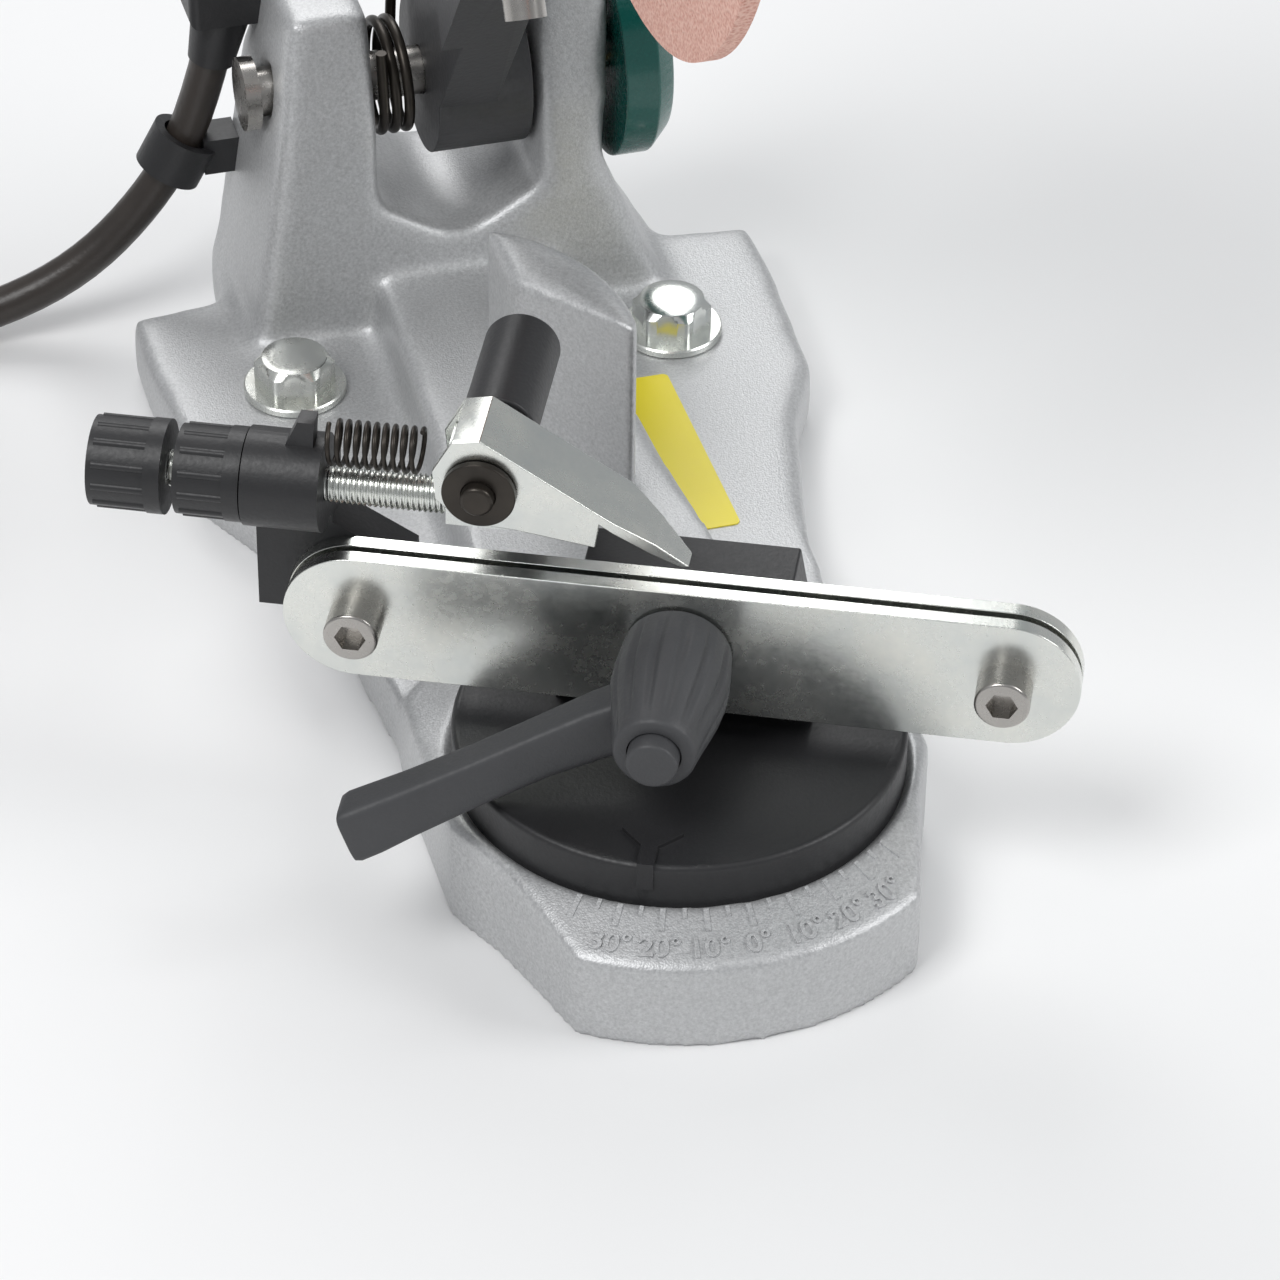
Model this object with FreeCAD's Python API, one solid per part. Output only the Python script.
import FreeCAD, Part
import math
import os

# Bench sharpener for saw chain: a cast base with a hinged motor head over a swivelling chain vise.
# Frame: +Z up, front is -Y. The origin is the middle of the two mounting holes, on the foot plane.

# Foot and base casting
FOOT_HALF = ((32.0, -184.6), (39.0, -162.0), (45.4, -148.0), (45.0, -118.0), (43.6, -100.0),
             (46.0, -73.0), (56.0, -34.0), (64.0, -18.0), (66.5, 18.0), (66.0, 34.0),
             (47.0, 36.0), (44.5, 58.0))
WING_TOP = 14.0
HOLE_SPACING = 78.8
HOLE_R = 5.0
RIM_R = 55.0
RIM_Z = 18.0
RING_Z = 22.5
RING_IN_R = 42.0
DISC_SEAT_Z = 20.0
SWIVEL_Y = -140.0
NECK_HALF = 24.0
NECK_TOP = 26.0

# Column cheeks and hinge
COL_FRONT = 15.0
COL_BACK = 58.0
CHEEK_FOOT_X = 44.0
CHEEK_TOP_X = 33.0
CHEEK_TOP_Z = 84.0
CHEEK_IN_X = 16.5
VALLEY_X = 3.0
VALLEY_Z = 34.0
HINGE_Y = 36.0
HINGE_Z = 62.0
HINGE_R = 5.0
TORSION_R = 11.0
TORSION_WIRE = 2.2
TORSION_PITCH = 2.6
RUN = 0.05
GAP = 0.3

# Depth pillar
PILLAR_TOP = 72.5
PILLAR_R = 38.0
PILLAR_ARC_X = -27.5
PILLAR_ARC_Y = -69.0
PILLAR_X = -9.0
PILLAR_FRONT = -77.5
PILLAR_BEVEL_Y = -55.0

# Chain vise, given square to the base and then turned to its set angle
VISE_TURN = -24.7
DISC_R = 41.4
DISC_TOP = 30.0
POINTER_W = 3.4
BLOCK_HALF = 24.0
BLOCK_DEPTH = 15.0
PLATE_L = 144.0
PLATE_H = 26.0
PLATE_T = 3.0
PLATE_Z = 48.5
CHAIN_GAP = 1.4
SCREW_S = 58.5
SCREW_R = 3.0
SCREW_HEAD_R = 5.0
SCREW_HEAD_L = 6.0
SCREW_KEY_R = 2.9
STUD_R = 4.0
STUD_FRONT = 24.0

# Clamp lever with its push button
HUB_R = 9.9
HUB_NECK_R = 7.4
HUB_L = 29.0
LEVER_L = 57.0
LEVER_ANGLE = 200.0
LEVER_T = 9.0
BUTTON_R = 4.65
BUTTON_L = 7.0
BUTTON_TRAVEL = 2.0

# Chain stop
ROD_Z = 75.5
ROD_R = 3.1
ROD_END = -42.0
HOLDER_A = -78.0
HOLDER_B = -64.0
HOLDER_R = 9.0
KNOB_R = 8.6
KNOB_L = 12.0
KNOB_GAP = 2.2
OUTER_KNOB_L = 13.4
PAWL_S = -35.5
PAWL_Z = 81.0
PAWL_FRONT = 5.0
PAWL_BACK = -9.0
PAWL_T = 1.5
PAWL_RISE = 10.5
PAWL_TIP_S = 1.5
PAWL_TIP_Z = 67.0
PIN_R = 3.0
SLEEVE_R = 7.0
SLEEVE_FRONT = -13.0
SLEEVE_BACK = -40.0
SPRING_R = 3.9
SPRING_WIRE = 0.9
SPRING_TURNS = 10
SPRING_A = -63.2
SPRING_B = -46.5
SPRING_Z = 84.6

# Head, given lowered and then lifted to its rest
HEAD_LIFT = 30.0
WHEEL_X = 9.0
WHEEL_R = 73.0
WHEEL_T = 3.2
WHEEL_BORE_R = 11.1
WHEEL_Z = 138.5
KNUCKLE_R = 17.0
KNUCKLE_A = -4.0
KNUCKLE_B = 15.5
ARM_HALF_H = 13.0
ARM_A = -8.0
ARM_B = 8.0
GUARD_R = 80.0
GUARD_WALL = 2.5
GUARD_A = -8.0
GUARD_B = 22.0
MOTOR_A = 26.0
MOTOR_L = 104.0
MOTOR_R = 43.0
MOTOR_WALL = 3.0
CAP_L = 16.0
SHAFT_R = 6.0
FLANGE_R = 19.0
FLANGE_T = 4.0
BEARING_R = 14.0
BEARING_T = 9.0
ROTOR_R = 22.0
ROTOR_L = 42.0
STATOR_R = 38.0
GRIP_R = 14.0
GRIP_L = 92.0
STOP_SCREW_Y = -50.0
STOP_SCREW_R = 4.0

# Mains lead: from the gland behind the left cheek, through the clip, to a coil on the bench
CORD_R = 4.0
CORD_ROUTE = ((-41.0, 52.0, 72.0), (-46.0, 52.0, 50.0), (-57.0, 52.0, 30.0), (-75.0, 52.0, 13.0),
              (-100.0, 53.0, 4.6), (-129.0, 54.0, 4.2), (-172.0, 55.0, 4.2))
GLAND_R = 6.5
GLAND_L = 15.0
CLIP_T = 3.0
COIL_PITCH = 9.8
COIL_OUT_R = 57.0
COIL_TURNS = 2.75
COIL_TAIL = 30.0
PLUG_R = 13.6
PLUG_L = 42.0

X = FreeCAD.Vector(1, 0, 0)
Y = FreeCAD.Vector(0, 1, 0)
Z = FreeCAD.Vector(0, 0, 1)
SWIVEL = FreeCAD.Vector(0, SWIVEL_Y, 0)
HINGE = FreeCAD.Vector(0, HINGE_Y, HINGE_Z)


def vec(x, y, z):
    return FreeCAD.Vector(x, y, z)


def cyl(radius, start, end):
    """Round bar between two points."""
    a = vec(*start)
    b = vec(*end)
    return Part.makeCylinder(radius, (b - a).Length, a, b - a)


def tube(outer, inner, start, end):
    return cyl(outer, start, end).cut(cyl(inner, start, end))


def box(low, high):
    size = [h - l for l, h in zip(low, high)]
    return Part.makeBox(*size, vec(*low))


def prism(points, direction):
    """Flat closed outline pushed along a direction."""
    corners = [vec(*p) for p in points]
    return Part.Face(Part.makePolygon(corners + corners[:1])).extrude(direction)


def fuse(shapes):
    return shapes[0].multiFuse(shapes[1:]).removeSplitter()


def rounded(shape, radius, pick):
    """Fillet the edges that a test on their middle point picks."""
    edges = [e for e in shape.Edges if pick(e.CenterOfMass)]
    return shape.makeFillet(radius, edges) if edges else shape


def turned(shape):
    """Vise pieces turn with the table about the swivel axis."""
    copy = shape.copy()
    copy.rotate(SWIVEL, Z, VISE_TURN)
    return copy


def lifted(shape):
    """Head pieces lift about the hinge axis."""
    copy = shape.copy()
    copy.rotate(HINGE, X, -HEAD_LIFT)
    return copy


def at(s, d, z):
    """A vise place: s along the chain, d towards the user, z up."""
    return (s, SWIVEL_Y - d, z)


def revolve_profile(points, centre, axis):
    """Solid of revolution from (radius, height) points about an axis."""
    face = Part.Face(Part.makePolygon([vec(r, 0, h) for r, h in points] + [vec(points[0][0], 0, points[0][1])]))
    solid = face.revolve(vec(0, 0, 0), Z, 360)
    turn = FreeCAD.Rotation(Z, axis)
    return solid.transformGeometry(FreeCAD.Placement(vec(*centre), turn).toMatrix())


def arc_to(start, heading, end):
    """Arc that leaves a point along a heading and ends at another point."""
    chord = end - start
    half = chord.Length / 2
    cosine = chord.dot(heading) / chord.Length
    side = heading - chord * (cosine / chord.Length)
    if side.Length < 1e-9:
        return Part.LineSegment(start, end).toShape()
    sagitta = half * math.tan(math.acos(min(1.0, cosine)) / 2)
    middle = (start + end) * 0.5 + side.normalize() * sagitta
    return Part.Arc(start, middle, end).toShape()


def wound_wire(place, last, lead_in, lead_out):
    """Biarcs of a quarter turn along a winding that is given by a function of the turns made."""
    small = 1e-4
    edges = []
    count = int(round(4 * last))
    knots = [place(i / 4.0) for i in range(count + 1)]
    ways = [(place(i / 4.0 + small) - place(i / 4.0 - small)).normalize() for i in range(count + 1)]
    if lead_in:
        edges.append(Part.LineSegment(knots[0] - ways[0] * lead_in, knots[0]).toShape())
    for a, b, u, w in zip(knots, knots[1:], ways, ways[1:]):
        chord = b - a
        both = u + w
        lean = 2 * (1 - u.dot(w))
        arm = (-chord.dot(both) + math.sqrt(chord.dot(both) ** 2 + lean * chord.dot(chord))) / lean
        joint = (a + u * arm + b - w * arm) * 0.5
        second = arc_to(b, w * -1, joint)
        edges.append(arc_to(a, u, joint))
        edges.append(second)
    if lead_out:
        edges.append(Part.LineSegment(knots[-1], knots[-1] + ways[-1] * lead_out).toShape())
    return Part.Wire(Part.sortEdges(edges)[0])


def wire_tube(wire, radius):
    """Round tube along a wire of tangent lines and arcs, as one pipe."""
    first = wire.OrderedEdges[0]
    start = wire.OrderedVertexes[0].Point
    heading = first.tangentAt(first.FirstParameter)
    ring = Part.Wire(Part.makeCircle(radius, start, heading))
    return wire.makePipeShell([ring], True, False)


def print_gap(name, place, last, radius):
    """Least gap between the turns, measured on points more than half a turn apart."""
    step = 24
    points = [place(i / float(step)) for i in range(int(last * step) + 1)]
    least = min((points[i] - points[k]).Length for i in range(len(points))
                for k in range(i + int(step * 0.6), len(points)))
    print(name, "least gap to itself", round(least - 2 * radius, 2))


def coil_spring(name, start, axis, side, mean_r, wire_r, pitch, turns, lead_in, lead_out):
    """Close-wound spring about an axis, with straight ends that leave along the wire."""
    a = vec(*start)
    axis = vec(*axis)
    side = vec(*side)
    other = axis.cross(side)

    def place(t):
        angle = 2 * math.pi * t
        return a + side * (mean_r * math.cos(angle)) + other * (mean_r * math.sin(angle)) + axis * (pitch * t)

    print_gap(name, place, turns, wire_r)
    return wire_tube(wound_wire(place, turns, lead_in, lead_out), wire_r)


def foot_outline(z):
    """Outline of the foot: straight flanks, round front, mirrored left to right."""
    right = [vec(x, y, z) for x, y in FOOT_HALF]
    left = [vec(-x, y, z) for x, y in FOOT_HALF]
    front = Part.Arc(left[0], vec(0, SWIVEL_Y - RIM_R, z), right[0]).toShape()
    edges = [front, Part.makePolygon(right + list(reversed(left)))]
    return Part.Wire([front] + edges[1].Edges)


def make_base():
    plate = Part.Face(foot_outline(0)).extrude(vec(0, 0, WING_TOP))
    drum_box = box((-RIM_R, SWIVEL_Y - RIM_R, 0), (RIM_R, SWIVEL_Y + RIM_R, RING_Z))
    cone = revolve_profile([(0, 0), (RIM_R, 0), (RIM_R, RIM_Z), (RING_IN_R, RING_Z), (0, RING_Z)],
                           (0, SWIVEL_Y, 0), Z)
    outline = Part.Face(foot_outline(0)).extrude(vec(0, 0, RING_Z))
    drum = cone.common(drum_box).common(outline)
    neck = prism([(-NECK_HALF, SWIVEL_Y + RING_IN_R, 0), (NECK_HALF, SWIVEL_Y + RING_IN_R, 0),
                  (NECK_HALF - 6, COL_FRONT + 4, 0), (6 - NECK_HALF, COL_FRONT + 4, 0)], vec(0, 0, NECK_TOP))
    body = fuse([plate, drum, neck, make_pillar(), make_column()])
    body = body.cut(cyl(RING_IN_R, (0, SWIVEL_Y, DISC_SEAT_Z), (0, SWIVEL_Y, NECK_TOP + 1)))
    for side in (-1, 1):
        x = side * HOLE_SPACING / 2
        body = body.cut(cyl(HOLE_R, (x, 0, -1), (x, 0, NECK_TOP)))
    body = body.cut(cyl(26, (0, SWIVEL_Y, -1), (0, SWIVEL_Y, DISC_SEAT_Z - 7)))
    body = body.cut(cyl(STUD_R + 1 + RUN, (0, SWIVEL_Y, 0), (0, SWIVEL_Y, DISC_SEAT_Z + 1)))
    body = body.cut(box((-14, SWIVEL_Y + 34, -1), (14, COL_FRONT - 4, DISC_SEAT_Z - 6)))
    return body.cut(cyl(HINGE_R + RUN, (-60, HINGE_Y, HINGE_Z), (60, HINGE_Y, HINGE_Z)))


def make_pillar():
    """Pillar with a slanted front face and a round back, which the depth screw lands on."""
    low = NECK_TOP - 6
    bar = cyl(PILLAR_R, (PILLAR_ARC_X, PILLAR_ARC_Y, low), (PILLAR_ARC_X, PILLAR_ARC_Y, PILLAR_TOP))
    wedge = prism([(PILLAR_X, PILLAR_BEVEL_Y, low), (8.6, PILLAR_FRONT, low), (30, PILLAR_FRONT, low),
                   (30, -20, low), (PILLAR_X, -20, low)], vec(0, 0, PILLAR_TOP - low))
    return bar.common(wedge)


def make_column():
    """Two cheeks that rise from the wings, with a tapering slot between them for the head."""
    face = [(-CHEEK_FOOT_X, COL_FRONT, WING_TOP - 2), (CHEEK_FOOT_X, COL_FRONT, WING_TOP - 2),
            (CHEEK_TOP_X - 3, COL_FRONT, 46), (CHEEK_TOP_X, COL_FRONT, CHEEK_TOP_Z),
            (CHEEK_IN_X, COL_FRONT, CHEEK_TOP_Z), (CHEEK_IN_X, COL_FRONT, HINGE_Z - 20),
            (VALLEY_X, COL_FRONT, VALLEY_Z), (-VALLEY_X, COL_FRONT, VALLEY_Z),
            (-CHEEK_IN_X, COL_FRONT, HINGE_Z - 20), (-CHEEK_IN_X, COL_FRONT, CHEEK_TOP_Z),
            (-CHEEK_TOP_X, COL_FRONT, CHEEK_TOP_Z)]
    block = prism(face, vec(0, COL_BACK - COL_FRONT, 0))
    side = prism([(-60, COL_FRONT, 0), (-60, COL_BACK, 0), (-60, COL_BACK, HINGE_Z),
                  (-60, HINGE_Y + 12, CHEEK_TOP_Z), (-60, HINGE_Y - 12, CHEEK_TOP_Z),
                  (-60, COL_FRONT + 3, HINGE_Z)], vec(120, 0, 0))
    return block.common(side)


def make_hinge_pin():
    bar = cyl(HINGE_R, (-CHEEK_TOP_X - 5, HINGE_Y, HINGE_Z), (CHEEK_TOP_X + 3, HINGE_Y, HINGE_Z))
    head = cyl(HINGE_R + 2.5, (-CHEEK_TOP_X - 8, HINGE_Y, HINGE_Z), (-CHEEK_TOP_X - 5, HINGE_Y, HINGE_Z))
    return fuse([bar, head])


def make_pivot_cover():
    """Domed cover over the pin's right-hand end."""
    start = CHEEK_TOP_X + 0.2
    profile = [(0, 3.4), (HINGE_R + 1, 3.4), (HINGE_R + 1, 0), (23, 0), (23, 7), (19, 11), (0, 13)]
    return revolve_profile(profile, (start, HINGE_Y, HINGE_Z), X)


def make_return_spring():
    """Torsion spring round the pin, one leg down in the slot and one up behind the arm."""
    return coil_spring("return_spring", (-13.9, HINGE_Y, HINGE_Z), (1, 0, 0), (0, -1, 0), TORSION_R,
                       TORSION_WIRE / 2, TORSION_PITCH, 2.5, 12.0, 16.0)


def make_swivel_bolt():
    low = DISC_SEAT_Z - 15
    head = prism([(9 * math.cos(math.radians(60 * i)), SWIVEL_Y + 9 * math.sin(math.radians(60 * i)), low)
                  for i in range(6)], vec(0, 0, 6.4))
    bar = cyl(STUD_R + 1, (0, SWIVEL_Y, low), (0, SWIVEL_Y, DISC_SEAT_Z + 7))
    return fuse([head, bar])


def make_swivel_washer():
    top = DISC_SEAT_Z - 7
    return tube(14, STUD_R + 1 + RUN, (0, SWIVEL_Y, top - 1.6), (0, SWIVEL_Y, top))


def make_turntable():
    disc = cyl(DISC_R, (0, SWIVEL_Y, DISC_SEAT_Z), (0, SWIVEL_Y, DISC_TOP))
    disc = rounded(disc, 1.2, lambda c: c.z > DISC_TOP - 0.1)
    tail = box(at(-POINTER_W / 2, DISC_R + 0.4, RING_Z), at(POINTER_W / 2, DISC_R - 9, DISC_TOP + 0.8)[:3]) \
        if False else prism([at(-1.5, DISC_R + 0.4, DISC_TOP - 5), at(1.5, DISC_R + 0.4, DISC_TOP - 5),
                             at(1.5, DISC_R - 5, DISC_TOP - 5), at(5.5, DISC_R - 9, DISC_TOP - 5),
                             at(0, DISC_R - 6, DISC_TOP - 5), at(-5.5, DISC_R - 9, DISC_TOP - 5),
                             at(-1.5, DISC_R - 5, DISC_TOP - 5)], vec(0, 0, 5.8))
    bore = cyl(STUD_R + 1 + RUN, (0, SWIVEL_Y, DISC_SEAT_Z - 1), (0, SWIVEL_Y, DISC_SEAT_Z + 7 + GAP))
    return turned(fuse([disc, tail]).cut(bore))


def slot_shape(half_l, half_h, d_low, d_high):
    """Flat bar with round ends, standing on edge in the vise frame."""
    run = half_l - half_h
    low = PLATE_Z - half_h
    high = PLATE_Z + half_h
    depth = d_high - d_low
    ends = [cyl(half_h, at(s, d_low, PLATE_Z), at(s, d_high, PLATE_Z)) for s in (-run, run)]
    middle = prism([at(-run, d_low, low), at(run, d_low, low), at(run, d_low, high), at(-run, d_low, high)],
                   vec(0, -depth, 0))
    return fuse([middle] + ends)


def make_rear_jaw():
    half = CHAIN_GAP / 2
    plate = slot_shape(PLATE_L / 2, PLATE_H / 2, -half - PLATE_T, -half)
    plate = plate.cut(cyl(STUD_R + RUN, at(0, -9, PLATE_Z), at(0, 9, PLATE_Z)))
    for s in (-SCREW_S, SCREW_S):
        plate = plate.cut(cyl(SCREW_R + RUN, at(s, -9, PLATE_Z), at(s, 9, PLATE_Z)))
    return turned(plate)


def make_front_jaw():
    half = CHAIN_GAP / 2
    plate = slot_shape(PLATE_L / 2, PLATE_H / 2, half, half + PLATE_T)
    plate = plate.cut(cyl(STUD_R + RUN, at(0, -9, PLATE_Z), at(0, 9, PLATE_Z)))
    for s in (-SCREW_S, SCREW_S):
        plate = plate.cut(cyl(SCREW_R + RUN, at(s, -9, PLATE_Z), at(s, 9, PLATE_Z)))
    return turned(plate)


def make_jaw_block():
    """Stand between the table and the rear jaw."""
    back = -CHAIN_GAP / 2 - PLATE_T
    body = prism([at(-BLOCK_HALF, back, DISC_TOP), at(BLOCK_HALF, back, DISC_TOP),
                  at(BLOCK_HALF - 5, back, PLATE_Z + 9), at(5 - BLOCK_HALF, back, PLATE_Z + 9)],
                 vec(0, BLOCK_DEPTH, 0))
    body = body.cut(cyl(STUD_R, at(0, back - 12, PLATE_Z), at(0, 9, PLATE_Z)))
    return turned(body)


def make_clamp_stud():
    back = -CHAIN_GAP / 2 - PLATE_T - 12
    return turned(cyl(STUD_R, at(0, back, PLATE_Z), at(0, STUD_FRONT, PLATE_Z)))


def make_jaw_screws():
    """Two socket-head screws that carry and guide the front jaw, each with its nut."""
    face = CHAIN_GAP / 2 + PLATE_T
    out = []
    for s in (-SCREW_S, SCREW_S):
        shank = cyl(SCREW_R, at(s, -face - 8, PLATE_Z), at(s, face + 1, PLATE_Z))
        head = cyl(SCREW_HEAD_R, at(s, face, PLATE_Z), at(s, face + SCREW_HEAD_L, PLATE_Z))
        head = rounded(head, 0.6, lambda c: c.y < SWIVEL_Y - face - SCREW_HEAD_L + 0.1)
        key = prism([at(s + SCREW_KEY_R * math.cos(math.radians(60 * i)), face + SCREW_HEAD_L - 3,
                        PLATE_Z + SCREW_KEY_R * math.sin(math.radians(60 * i))) for i in range(6)],
                    vec(0, -4, 0))
        nut = prism([at(s + 5.8 * math.cos(math.radians(60 * i)), -face,
                        PLATE_Z + 5.8 * math.sin(math.radians(60 * i))) for i in range(6)], vec(0, 5, 0))
        if s < 0:
            nut.translate(vec(0, 4, 0))
        out.append(fuse([shank, head, nut]).cut(key))
    return turned(Part.Compound(out))


def make_lever():
    """Moulded clamp lever: a tapered hub on the stud and a flat arm that leans outwards."""
    face = CHAIN_GAP / 2 + PLATE_T + GAP
    hub = revolve_profile([(0, 0), (HUB_R, 0), (HUB_R, 4), (HUB_R + 0.6, 11), (HUB_R - 0.6, 19),
                           (HUB_NECK_R, HUB_L), (0, HUB_L)], at(0, face, PLATE_Z), vec(0, -1, 0))
    lean = math.radians(LEVER_ANGLE)
    ux = math.cos(lean)
    uz = math.sin(lean)

    def rim(along, across, d):
        return vec(*at(along * ux - across * uz, face + d, PLATE_Z + along * uz + across * ux))

    sections = []
    for along, half, d in ((4, 6.0, 14), (26, 5.0, 21), (LEVER_L - 6, 5.6, 33), (LEVER_L, 5.2, 34.5)):
        corners = [rim(along, -half, d - LEVER_T / 2), rim(along, half, d - LEVER_T / 2),
                   rim(along, half, d + LEVER_T / 2), rim(along, -half, d + LEVER_T / 2)]
        sections.append(Part.makePolygon(corners + corners[:1]))
    arm = Part.makeLoft(sections, True, True)
    body = fuse([hub, arm])
    bore = cyl(STUD_R + RUN, at(0, face - 1, PLATE_Z), at(0, STUD_FRONT + 1 + BUTTON_TRAVEL, PLATE_Z))
    seat = cyl(BUTTON_R + RUN, at(0, STUD_FRONT + 1, PLATE_Z), at(0, face + HUB_L + 1, PLATE_Z))
    return turned(body.cut(bore).cut(seat))


def make_lever_button():
    start = STUD_FRONT + 1 + BUTTON_TRAVEL + GAP
    end = CHAIN_GAP / 2 + PLATE_T + GAP + HUB_L + 3.5
    button = cyl(BUTTON_R, at(0, start, PLATE_Z), at(0, end, PLATE_Z))
    return turned(rounded(button, 0.8, lambda c: c.y < SWIVEL_Y - end + 0.1))


def make_stop_holder():
    """Moulded block behind the left end of the rear jaw, with the bore for the stop rod."""
    back = -CHAIN_GAP / 2 - PLATE_T
    barrel = cyl(HOLDER_R, at(HOLDER_A, 0, ROD_Z), at(HOLDER_B, 0, ROD_Z))
    leg = prism([at(HOLDER_A, back - 9, 44), at(-50, back - 9, 44), at(-50, back - 9, 56),
                 at(HOLDER_B, back - 9, 64), at(HOLDER_B, back - 9, ROD_Z), at(HOLDER_A, back - 9, ROD_Z)],
                vec(0, -9, 0))
    saddle = prism([at(HOLDER_A, back - 9, 66), at(HOLDER_B, back - 9, 66), at(HOLDER_B, back - 9, ROD_Z),
                    at(HOLDER_A, back - 9, ROD_Z)], vec(0, -14 - back, 0))
    lug = prism([at(-72, 2, ROD_Z + 6), at(-66, 2, ROD_Z + 6), at(-65.5, 2, ROD_Z + 14),
                 at(-68.5, 2, ROD_Z + 14)], vec(0, 4, 0))
    body = fuse([barrel, leg, saddle, lug])
    body = body.cut(cyl(ROD_R + RUN, at(HOLDER_A - 1, 0, ROD_Z), at(HOLDER_B + 1, 0, ROD_Z)))
    left = -SCREW_S
    body = body.cut(cyl(SCREW_R + RUN, at(left, back - 20, PLATE_Z), at(left, 9, PLATE_Z)))
    nut_room = cyl(6.2, at(left, back - 10, PLATE_Z), at(left, back - 3.9, PLATE_Z))
    return turned(body.cut(nut_room))


def make_stop_rod():
    """Threaded rod with the eye block that carries the pawl's pin."""
    start = HOLDER_A - KNOB_L - KNOB_GAP - OUTER_KNOB_L + 3
    rod = cyl(ROD_R, at(start, 0, ROD_Z), at(ROD_END + 4, 0, ROD_Z))
    inside = PAWL_BACK + PAWL_T + GAP
    block = box_vise(ROD_END, PAWL_S + 4.5, inside, PAWL_FRONT - PAWL_T - GAP, ROD_Z - 4, PAWL_Z + 5)
    block = block.cut(cyl(PIN_R, at(PAWL_S, -20, PAWL_Z), at(PAWL_S, 20, PAWL_Z)))
    return turned(fuse([rod, block]))


def box_vise(s_low, s_high, d_low, d_high, z_low, z_high):
    return prism([at(s_low, d_low, z_low), at(s_high, d_low, z_low), at(s_high, d_low, z_high),
                  at(s_low, d_low, z_high)], vec(0, d_low - d_high, 0))


def make_pawl_pin():
    front = PAWL_FRONT + 4
    bar = cyl(PIN_R, at(PAWL_S, SLEEVE_BACK + 2, PAWL_Z), at(PAWL_S, front, PAWL_Z))
    return turned(rounded(bar, 0.8, lambda c: True))


def make_pawl_washer():
    start = PAWL_FRONT + GAP
    ring = tube(6.6, PIN_R, at(PAWL_S, start, PAWL_Z), at(PAWL_S, start + 1.5, PAWL_Z))
    return turned(ring)


def make_pawl_sleeve():
    shell = cyl(SLEEVE_R, at(PAWL_S, SLEEVE_BACK, PAWL_Z), at(PAWL_S, SLEEVE_FRONT, PAWL_Z))
    bore = cyl(PIN_R, at(PAWL_S, SLEEVE_BACK + 2, PAWL_Z), at(PAWL_S, SLEEVE_FRONT + 1, PAWL_Z))
    collar = tube(PIN_R + 2, PIN_R, at(PAWL_S, SLEEVE_FRONT, PAWL_Z), at(PAWL_S, PAWL_BACK - GAP, PAWL_Z))
    return turned(fuse([shell.cut(bore), collar]))


def make_pawl():
    """Bent sheet channel: a sloping web on two cheeks, with a nose that drops to the chain."""
    top = PAWL_Z + PAWL_RISE
    slope = (PAWL_TIP_Z + 3 - top) / (PAWL_TIP_S - 3 - PAWL_S)
    shoulder = -14.0
    width = PAWL_FRONT - PAWL_BACK
    cheek = [(PAWL_S - 5, top - 1), (PAWL_S, top), (shoulder, top + slope * (shoulder - PAWL_S)),
             (shoulder - 1, top + slope * (shoulder - PAWL_S) - 7), (PAWL_S + 6, PAWL_Z - 8),
             (PAWL_S - 3, PAWL_Z - 7.5), (PAWL_S - 8, PAWL_Z - 3), (PAWL_S - 8.5, PAWL_Z + 3)]
    solids = []
    for d in (PAWL_BACK, PAWL_FRONT - PAWL_T):
        side = prism([at(s, d, z) for s, z in cheek], vec(0, -PAWL_T, 0))
        solids.append(side.cut(cyl(PIN_R + RUN, at(PAWL_S, -30, PAWL_Z), at(PAWL_S, 30, PAWL_Z))))
    tip_top = top + slope * (PAWL_TIP_S - 6 - PAWL_S)
    web = [(PAWL_S - 5, top - 1), (PAWL_S, top), (PAWL_TIP_S - 6, tip_top), (PAWL_TIP_S, PAWL_TIP_Z),
           (PAWL_TIP_S - 1.6, PAWL_TIP_Z), (PAWL_TIP_S - 6.9, tip_top - 1.9), (PAWL_S, top - PAWL_T),
           (PAWL_S - 5, top - 1 - PAWL_T)]
    strip = prism([at(s, PAWL_BACK, z) for s, z in web], vec(0, -width, 0))
    plan = prism([at(PAWL_S - 12, PAWL_BACK, 0), at(-10, PAWL_BACK, 0), at(PAWL_TIP_S, -1.5, 0),
                  at(PAWL_TIP_S + 1, 2.5, 0), at(-12, PAWL_FRONT, 0), at(PAWL_S - 12, PAWL_FRONT, 0)],
                 vec(0, 0, 120))
    return turned(fuse(solids + [strip.common(plan)]))


def make_pawl_spring():
    pitch = (SPRING_B - SPRING_A) / SPRING_TURNS
    coil = coil_spring("pawl_spring", at(SPRING_A, 0, SPRING_Z), (1, 0, 0), (0, 0, 1), SPRING_R,
                       SPRING_WIRE / 2, pitch, SPRING_TURNS, 0, 0)
    return turned(coil)


def knob(length, start, direction):
    """Ribbed knob with a collar at its inner end."""
    a = vec(*start)
    end = a + direction * length
    core = Part.makeCylinder(KNOB_R - 0.5, length, a, direction)
    collar = Part.makeCylinder(KNOB_R, 3.0, end - direction * 3.0, direction)
    ribs = []
    for i in range(12):
        angle = math.radians(30 * i)
        off = Y * ((KNOB_R - 0.9) * math.cos(angle)) + Z * ((KNOB_R - 0.9) * math.sin(angle))
        ribs.append(Part.makeCylinder(0.8, length - 1, a + direction + off, direction))
    return fuse([core, collar] + ribs)


def make_adjusting_knob():
    start = HOLDER_A - GAP - KNOB_L
    body = knob(KNOB_L, at(start, 0, ROD_Z), X)
    return turned(body.cut(cyl(ROD_R + RUN, at(start - 1, 0, ROD_Z), at(HOLDER_A + 1, 0, ROD_Z))))


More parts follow.
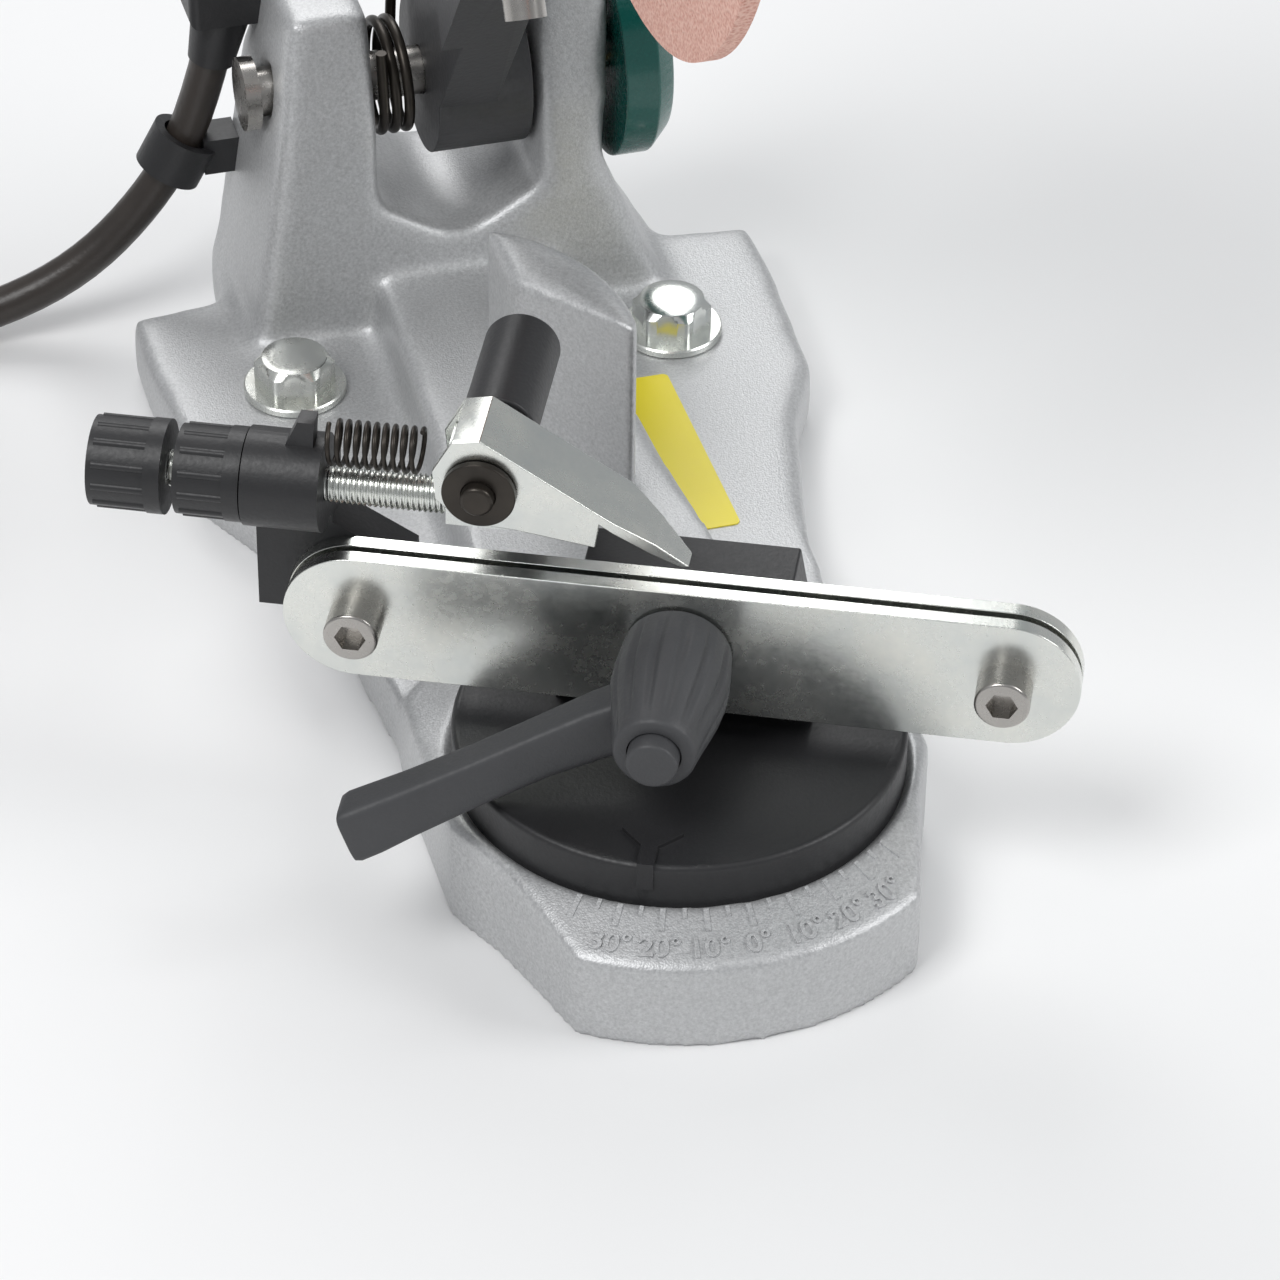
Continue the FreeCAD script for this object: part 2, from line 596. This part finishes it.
def make_lock_knob():
    start = HOLDER_A - GAP - KNOB_L - KNOB_GAP - OUTER_KNOB_L
    body = knob(OUTER_KNOB_L, at(start, 0, ROD_Z), X)
    seat = HOLDER_A - KNOB_L - KNOB_GAP - OUTER_KNOB_L + 3
    hole = cyl(ROD_R + RUN, at(seat - GAP, 0, ROD_Z), at(start + OUTER_KNOB_L + 1, 0, ROD_Z))
    return turned(body.cut(hole))


def make_head_arm():
    """Cast arm from the hinge knuckle to the motor flange, with the lug of the depth screw."""
    knuckle = cyl(KNUCKLE_R, (KNUCKLE_A, HINGE_Y, HINGE_Z), (KNUCKLE_B, HINGE_Y, HINGE_Z))
    dy = SWIVEL_Y - HINGE_Y
    dz = WHEEL_Z - HINGE_Z
    length = math.hypot(dy, dz)
    across = (-dz / length * ARM_HALF_H, dy / length * ARM_HALF_H)
    reach = (length - GUARD_R - 4) / length
    near = (HINGE_Y, HINGE_Z)
    far = (HINGE_Y + dy * reach, HINGE_Z + dz * reach)
    bar = prism([(ARM_A, near[0] + across[0], near[1] + across[1]), (ARM_A, far[0] + across[0], far[1] + across[1]),
                 (ARM_A, far[0] - across[0], far[1] - across[1]), (ARM_A, near[0] - across[0], near[1] - across[1])],
                vec(ARM_B - ARM_A, 0, 0))
    keep = box((KNUCKLE_A, -60, 0), (KNUCKLE_B, 90, 200))
    root = bar.common(keep)
    outer = bar.cut(box((-50, -8, 0), (50, 90, 200)))
    side = prism([(GUARD_B + GAP, SWIVEL_Y + 30, WHEEL_Z + 30), (GUARD_B + GAP, -40, 118), (GUARD_B + GAP, -40, 84),
                  (GUARD_B + GAP, SWIVEL_Y + 14, WHEEL_Z - 32)], vec(MOTOR_A - GUARD_B - GAP, 0, 0))
    bridge = prism([(ARM_A, -58, 116), (ARM_A, -20, 104), (ARM_A, -20, 78), (ARM_A, -54, 92)],
                   vec(MOTOR_A - ARM_A, 0, 0))
    plate = cyl(MOTOR_R, (GUARD_B + GAP, SWIVEL_Y, WHEEL_Z), (MOTOR_A, SWIVEL_Y, WHEEL_Z))
    body = fuse([knuckle, root, outer, bridge, side, plate])
    body = body.cut(cyl(HINGE_R + RUN, (-50, HINGE_Y, HINGE_Z), (50, HINGE_Y, HINGE_Z)))
    body = body.cut(cyl(BEARING_R, (GUARD_B - 1, SWIVEL_Y, WHEEL_Z), (MOTOR_A + 1, SWIVEL_Y, WHEEL_Z)))
    room = cyl(GUARD_R + GAP, (-40, SWIVEL_Y, WHEEL_Z), (GUARD_B + GAP, SWIVEL_Y, WHEEL_Z))
    body = body.cut(room)
    screw = cyl(STOP_SCREW_R + RUN, (0, STOP_SCREW_Y, 60), (0, STOP_SCREW_Y, 140))
    return lifted(body.cut(screw))


def make_depth_screw():
    low = PILLAR_TOP + GAP
    bar = cyl(STOP_SCREW_R, (0, STOP_SCREW_Y, low), (0, STOP_SCREW_Y, 128))
    top = cyl(9, (0, STOP_SCREW_Y, 124), (0, STOP_SCREW_Y, 136))
    return lifted(fuse([bar, rounded(top, 1.5, lambda c: True)]))


def make_wheel_guard():
    """Half-open guard: rim and back plate round the wheel, open below and in front."""
    ring = tube(GUARD_R, GUARD_R - GUARD_WALL, (GUARD_A, SWIVEL_Y, WHEEL_Z), (GUARD_B, SWIVEL_Y, WHEEL_Z))
    back = cyl(GUARD_R, (GUARD_B - GUARD_WALL, SWIVEL_Y, WHEEL_Z), (GUARD_B, SWIVEL_Y, WHEEL_Z))
    window = prism([(GUARD_A - 1, SWIVEL_Y - 90, WHEEL_Z - 10), (GUARD_A - 1, SWIVEL_Y + 90, WHEEL_Z - 34),
                    (GUARD_A - 1, SWIVEL_Y + 90, WHEEL_Z - 90), (GUARD_A - 1, SWIVEL_Y - 90, WHEEL_Z - 90)],
                   vec(40, 0, 0))
    hub = cyl(BEARING_R + 1, (GUARD_A - 1, SWIVEL_Y, WHEEL_Z), (GUARD_B + 1, SWIVEL_Y, WHEEL_Z))
    return lifted(fuse([ring, back]).cut(window).cut(hub))


def make_guard_cover():
    face = cyl(GUARD_R, (GUARD_A - 2.5, SWIVEL_Y, WHEEL_Z), (GUARD_A, SWIVEL_Y, WHEEL_Z))
    window = prism([(GUARD_A - 5, SWIVEL_Y - 90, WHEEL_Z - 2), (GUARD_A - 5, SWIVEL_Y + 90, WHEEL_Z - 26),
                    (GUARD_A - 5, SWIVEL_Y + 90, WHEEL_Z - 90), (GUARD_A - 5, SWIVEL_Y - 90, WHEEL_Z - 90)],
                   vec(40, 0, 0))
    return lifted(face.cut(window))


def make_eye_shield():
    """Clear shield on the front of the guard, hinged at its upper edge."""
    top = (SWIVEL_Y - 50, WHEEL_Z + 66)
    drop = (SWIVEL_Y - 112, WHEEL_Z - 2)
    blade = prism([(GUARD_A - 8, top[0], top[1]), (GUARD_A - 8, drop[0], drop[1]),
                   (GUARD_A - 8, drop[0] - 2.4, drop[1] + 1), (GUARD_A - 8, top[0] - 2, top[1] + 2)],
                  vec(GUARD_B - GUARD_A + 12, 0, 0))
    barrel = cyl(3, (GUARD_A - 8, top[0], top[1] + 3), (GUARD_B + 4, top[0], top[1] + 3))
    return lifted(fuse([blade, barrel]).cut(cyl(1.5 + RUN, (-30, top[0], top[1] + 3), (60, top[0], top[1] + 3))))


def make_shield_pin():
    y = SWIVEL_Y - 50
    z = WHEEL_Z + 69
    bar = cyl(1.5, (GUARD_A - 9, y, z), (GUARD_B + 5, y, z))
    foot = prism([(GUARD_B + 4 + GAP, y - 3, z + 3), (GUARD_B + 4 + GAP, y + 3, z + 3),
                  (GUARD_B + 4 + GAP, y + 14, z - 26), (GUARD_B + 4 + GAP, y + 2, z - 28)], vec(2, 0, 0))
    lift = prism([(GUARD_B, y + 14, z - 26), (GUARD_B, y + 2, z - 28), (GUARD_B, y + 4, z - 18),
                  (GUARD_B, y + 10, z - 17)], vec(4.5 + GAP, 0, 0))
    return lifted(fuse([bar, foot, lift]))


def make_motor_housing():
    a = MOTOR_A
    b = MOTOR_A + MOTOR_L
    shell = tube(MOTOR_R, MOTOR_R - MOTOR_WALL, (a, SWIVEL_Y, WHEEL_Z), (b, SWIVEL_Y, WHEEL_Z))
    wall = tube(MOTOR_R, BEARING_R, (a, SWIVEL_Y, WHEEL_Z), (a + 4, SWIVEL_Y, WHEEL_Z))
    seat = tube(MOTOR_R, BEARING_R, (b - BEARING_T, SWIVEL_Y, WHEEL_Z), (b - 1, SWIVEL_Y, WHEEL_Z))
    body = fuse([shell, wall, seat])
    return lifted(body)


def make_motor_cap():
    b = MOTOR_A + MOTOR_L
    profile = [(0, CAP_L), (MOTOR_R - 14, CAP_L), (MOTOR_R, CAP_L - 8), (MOTOR_R, 0), (MOTOR_R - MOTOR_WALL, 0),
               (MOTOR_R - MOTOR_WALL, CAP_L - 9), (MOTOR_R - 15, CAP_L - 3), (0, CAP_L - 3)]
    cap = revolve_profile(profile, (b, SWIVEL_Y, WHEEL_Z), X)
    for i in range(-4, 5):
        slot = box((b + CAP_L - 5, SWIVEL_Y + 6 * i - 1.2, WHEEL_Z - 18), (b + CAP_L + 1, SWIVEL_Y + 6 * i + 1.2, WHEEL_Z + 18))
        cap = cap.cut(slot)
    return lifted(cap)


def make_stator():
    a = MOTOR_A + 34
    return lifted(tube(MOTOR_R - MOTOR_WALL, ROTOR_R + 0.8, (a, SWIVEL_Y, WHEEL_Z), (a + ROTOR_L, SWIVEL_Y, WHEEL_Z)))


def make_bearing(start):
    return lifted(tube(BEARING_R, SHAFT_R + RUN, (start, SWIVEL_Y, WHEEL_Z), (start + BEARING_T, SWIVEL_Y, WHEEL_Z)))


def make_motor_shaft():
    a = WHEEL_X - WHEEL_T / 2 - FLANGE_T - 9
    b = MOTOR_A + MOTOR_L + 4
    return lifted(cyl(SHAFT_R, (a, SWIVEL_Y, WHEEL_Z), (b, SWIVEL_Y, WHEEL_Z)))


def on_shaft(outer, start, length):
    return tube(outer, SHAFT_R, (start, SWIVEL_Y, WHEEL_Z), (start + length, SWIVEL_Y, WHEEL_Z))


def make_rotor_core():
    return lifted(on_shaft(ROTOR_R, MOTOR_A + 34, ROTOR_L))


def make_commutator():
    return lifted(on_shaft(12, MOTOR_A + 34 + ROTOR_L + 4, 12))


def make_fan():
    a = MOTOR_A + 14
    hub = on_shaft(11, a, 12)
    disc = on_shaft(36, a, 2)
    blades = [box((a, -1, 9), (a + 12, 1, 34)) for i in range(9)]
    for i, blade in enumerate(blades):
        blade.rotate(vec(0, 0, 0), X, 40 * i)
        blade.translate(vec(0, SWIVEL_Y, WHEEL_Z))
    return lifted(fuse([hub, disc] + blades))


def make_inner_flange():
    a = WHEEL_X + WHEEL_T / 2
    return lifted(on_shaft(FLANGE_R, a, FLANGE_T))


def make_outer_flange():
    a = WHEEL_X - WHEEL_T / 2 - FLANGE_T
    return lifted(on_shaft(FLANGE_R, a, FLANGE_T))


def make_wheel_nut():
    a = WHEEL_X - WHEEL_T / 2 - FLANGE_T - 7
    nut = prism([(a, SWIVEL_Y + 10 * math.cos(math.radians(60 * i)), WHEEL_Z + 10 * math.sin(math.radians(60 * i)))
                 for i in range(6)], vec(7, 0, 0))
    return lifted(nut.cut(cyl(SHAFT_R, (a - 1, SWIVEL_Y, WHEEL_Z), (a + 8, SWIVEL_Y, WHEEL_Z))))


def make_grinding_wheel():
    a = WHEEL_X - WHEEL_T / 2
    return lifted(tube(WHEEL_R, SHAFT_R, (a, SWIVEL_Y, WHEEL_Z), (a + WHEEL_T, SWIVEL_Y, WHEEL_Z)))


def make_grip():
    """Handle that stands out of the motor flange towards the user."""
    y = SWIVEL_Y - MOTOR_R + 3
    z = WHEEL_Z + 12
    x = MOTOR_A + 24
    neck = cyl(7, (x, y, z), (x, y - 20, z + 8))
    a = vec(x, y - 14, z + 5.6)
    way = vec(0, -0.93, 0.37)
    profile = [(0, 0), (GRIP_R - 3, 0), (GRIP_R - 1, 8), (GRIP_R - 2, 40), (GRIP_R, 74), (GRIP_R, GRIP_L - 6),
               (GRIP_R - 5, GRIP_L), (0, GRIP_L)]
    bar = revolve_profile(profile, (a.x, a.y, a.z), way)
    room = cyl(MOTOR_R + GAP, (MOTOR_A - 1, SWIVEL_Y, WHEEL_Z), (MOTOR_A + MOTOR_L, SWIVEL_Y, WHEEL_Z))
    return lifted(fuse([neck, bar]).cut(room))


def make_switch_box():
    top = WHEEL_Z + MOTOR_R
    body = box((MOTOR_A + 30, SWIVEL_Y - 15, top - 8), (MOTOR_A + 72, SWIVEL_Y + 15, top + 14))
    body = rounded(body, 3, lambda c: c.z > top + 13)
    body = body.cut(cyl(MOTOR_R + GAP, (MOTOR_A, SWIVEL_Y, WHEEL_Z), (MOTOR_A + MOTOR_L, SWIVEL_Y, WHEEL_Z)))
    return lifted(body.cut(box((MOTOR_A + 37, SWIVEL_Y - 8, top + 4), (MOTOR_A + 65, SWIVEL_Y + 8, top + 15))))


def make_switch_rocker():
    top = WHEEL_Z + MOTOR_R
    shape = prism([(MOTOR_A + 39, SWIVEL_Y - 7, top + 9), (MOTOR_A + 51, SWIVEL_Y - 7, top + 6),
                   (MOTOR_A + 63, SWIVEL_Y - 7, top + 9), (MOTOR_A + 63, SWIVEL_Y - 7, top + 14),
                   (MOTOR_A + 51, SWIVEL_Y - 7, top + 12.6), (MOTOR_A + 39, SWIVEL_Y - 7, top + 17)], vec(0, 14, 0))
    return lifted(shape)


def make_cord_gland():
    """Boss on the left cheek with the tapered strain relief that the lead leaves downwards."""
    start = vec(*CORD_ROUTE[0])
    way = (vec(*CORD_ROUTE[1]) - start).normalize()
    cone = Part.makeCone(GLAND_R, CORD_R + 0.8, GLAND_L, start - way * 4, way)
    boss = box((start.x - GLAND_R - 1, start.y - GLAND_R, start.z),
               (-CHEEK_TOP_X + 6, start.y + GLAND_R, CHEEK_TOP_Z - 3))
    boss = rounded(boss, 2.0, lambda c: c.x < start.x - GLAND_R)
    body = fuse([boss, cone])
    return body.cut(Part.makeCylinder(CORD_R, 60, start, way)).cut(make_column())


def make_cord_run():
    """Free stretch of the lead: straight runs joined by tangent arcs, as wide as they fit."""
    points = [vec(*p) for p in CORD_ROUTE]
    edges = []
    last = points[0]
    total = 0.0
    for a, b, c in zip(points, points[1:], points[2:]):
        u = (b - a).normalize()
        w = (c - b).normalize()
        turn = math.acos(max(-1.0, min(1.0, u.dot(w))))
        cut = 0.45 * min((b - a).Length, (c - b).Length)
        radius = cut / math.tan(turn / 2)
        inward = (w - u).normalize()
        middle = b + inward * (math.hypot(radius, cut) - radius)
        edges.append(Part.LineSegment(last, b - u * cut).toShape())
        edges.append(Part.Arc(b - u * cut, middle, b + w * cut).toShape())
        last = b + w * cut
        total += radius * turn
        print("cord bend radius", round(radius, 1), "turn", round(math.degrees(turn)))
    edges.append(Part.LineSegment(last, points[-1]).toShape())
    wire = Part.Wire(edges)
    tube_solid = wire_tube(wire, CORD_R)
    print("cord run length", round(wire.Length, 1), "volume over section times length",
          round(tube_solid.Volume / (math.pi * CORD_R ** 2 * wire.Length), 4))
    return tube_solid


def coil_place(t):
    """Winding: a layer spirals in, climbs in half a turn, and the next spirals out again."""
    end = vec(*CORD_ROUTE[-1])
    way = (end - vec(*CORD_ROUTE[-2])).normalize()
    side = vec(-way.y, way.x, 0)
    centre = end + side * COIL_OUT_R
    climb = 0.5
    if t <= COIL_TURNS:
        radius = COIL_OUT_R - COIL_PITCH * t
        rise = 0.0
    elif t <= COIL_TURNS + climb:
        part = (t - COIL_TURNS) / climb
        radius = COIL_OUT_R - COIL_PITCH * COIL_TURNS
        rise = part * part * (3 - 2 * part)
    else:
        radius = COIL_OUT_R - COIL_PITCH * (2 * COIL_TURNS + climb - t)
        rise = 1.0
    angle = 2 * math.pi * t
    return centre + way * (radius * math.sin(angle)) - side * (radius * math.cos(angle)) + Z * (COIL_PITCH * rise)


def make_cord_coil():
    last = 2 * COIL_TURNS + 0.5
    print_gap("cord_coil", coil_place, last, CORD_R)
    wire = wound_wire(coil_place, last, 0, COIL_TAIL)
    print("cord coil length", round(wire.Length, 1))
    return wire_tube(wire, CORD_R)


def make_plug():
    """Moulded plug with two flat pins and an earth pin, lying beside the coil."""
    last = 2 * COIL_TURNS + 0.5
    end = coil_place(last)
    way = (end - coil_place(last - 0.001)).normalize()
    side = Z.cross(way)
    end = end + way * COIL_TAIL
    neck = Part.makeCone(CORD_R + 1, 9, 16, end, way)
    body = Part.makeCylinder(PLUG_R, PLUG_L - 16, end + way * 16, way)
    face = end + way * PLUG_L
    pins = []
    for off, high in ((side * 6.3, 2.0), (side * -6.3, 2.0), (Z * 6.0, 4.6)):
        pins.append(Part.makeCylinder(high / 2 + 0.6, 17, face + off - way * 1, way))
    return fuse([neck, body] + pins)


def make_cord_clip():
    """Moulded clip on the left cheek that the lead is pressed into."""
    a = vec(*CORD_ROUTE[1])
    b = vec(*CORD_ROUTE[2])
    way = (b - a).normalize()
    middle = (a + b) * 0.5
    ring = Part.makeCylinder(CORD_R + CLIP_T, 9, middle - way * 4.5, way)
    ring = ring.cut(Part.makeCylinder(CORD_R + 3 * GAP, 20, middle - way * 10, way))
    foot = box((middle.x + CORD_R + 1, middle.y - 4, middle.z - 4), (-30, middle.y + 4, middle.z + 4))
    return fuse([ring, foot]).cut(make_column())


PARTS = {
    "base": make_base, "hinge_pin": make_hinge_pin, "pivot_cover": make_pivot_cover,
    "return_spring": make_return_spring, "swivel_bolt": make_swivel_bolt,
    "swivel_washer": make_swivel_washer, "turntable": make_turntable, "jaw_block": make_jaw_block,
    "rear_jaw": make_rear_jaw, "front_jaw": make_front_jaw, "clamp_stud": make_clamp_stud,
    "jaw_screws": make_jaw_screws, "clamp_lever": make_lever, "lever_button": make_lever_button,
    "stop_holder": make_stop_holder, "stop_rod": make_stop_rod, "pawl_pin": make_pawl_pin,
    "pawl_washer": make_pawl_washer, "pawl_sleeve": make_pawl_sleeve, "pawl": make_pawl,
    "pawl_spring": make_pawl_spring, "adjusting_knob": make_adjusting_knob,
    "lock_knob": make_lock_knob, "head_arm": make_head_arm, "depth_screw": make_depth_screw,
    "wheel_guard": make_wheel_guard, "guard_cover": make_guard_cover, "eye_shield": make_eye_shield,
    "shield_pin": make_shield_pin, "motor_housing": make_motor_housing, "motor_cap": make_motor_cap,
    "stator": make_stator, "motor_shaft": make_motor_shaft, "rotor_core": make_rotor_core,
    "commutator": make_commutator, "cooling_fan": make_fan, "inner_flange": make_inner_flange,
    "outer_flange": make_outer_flange, "wheel_nut": make_wheel_nut,
    "grinding_wheel": make_grinding_wheel, "handle_grip": make_grip, "switch_box": make_switch_box,
    "switch_rocker": make_switch_rocker, "cord_gland": make_cord_gland, "cord_run": make_cord_run,
    "cord_coil": make_cord_coil, "plug": make_plug, "cord_clip": make_cord_clip,
    "front_bearing": lambda: make_bearing(GUARD_B + GAP + 0.5),
    "rear_bearing": lambda: make_bearing(MOTOR_A + MOTOR_L - 9),
}

os.makedirs("parts", exist_ok=True)
for name, make in PARTS.items():
    shape = make()
    print(name, len(shape.Solids), round(shape.Volume), shape.isValid())
    shape.exportStep("parts/" + name + ".step")
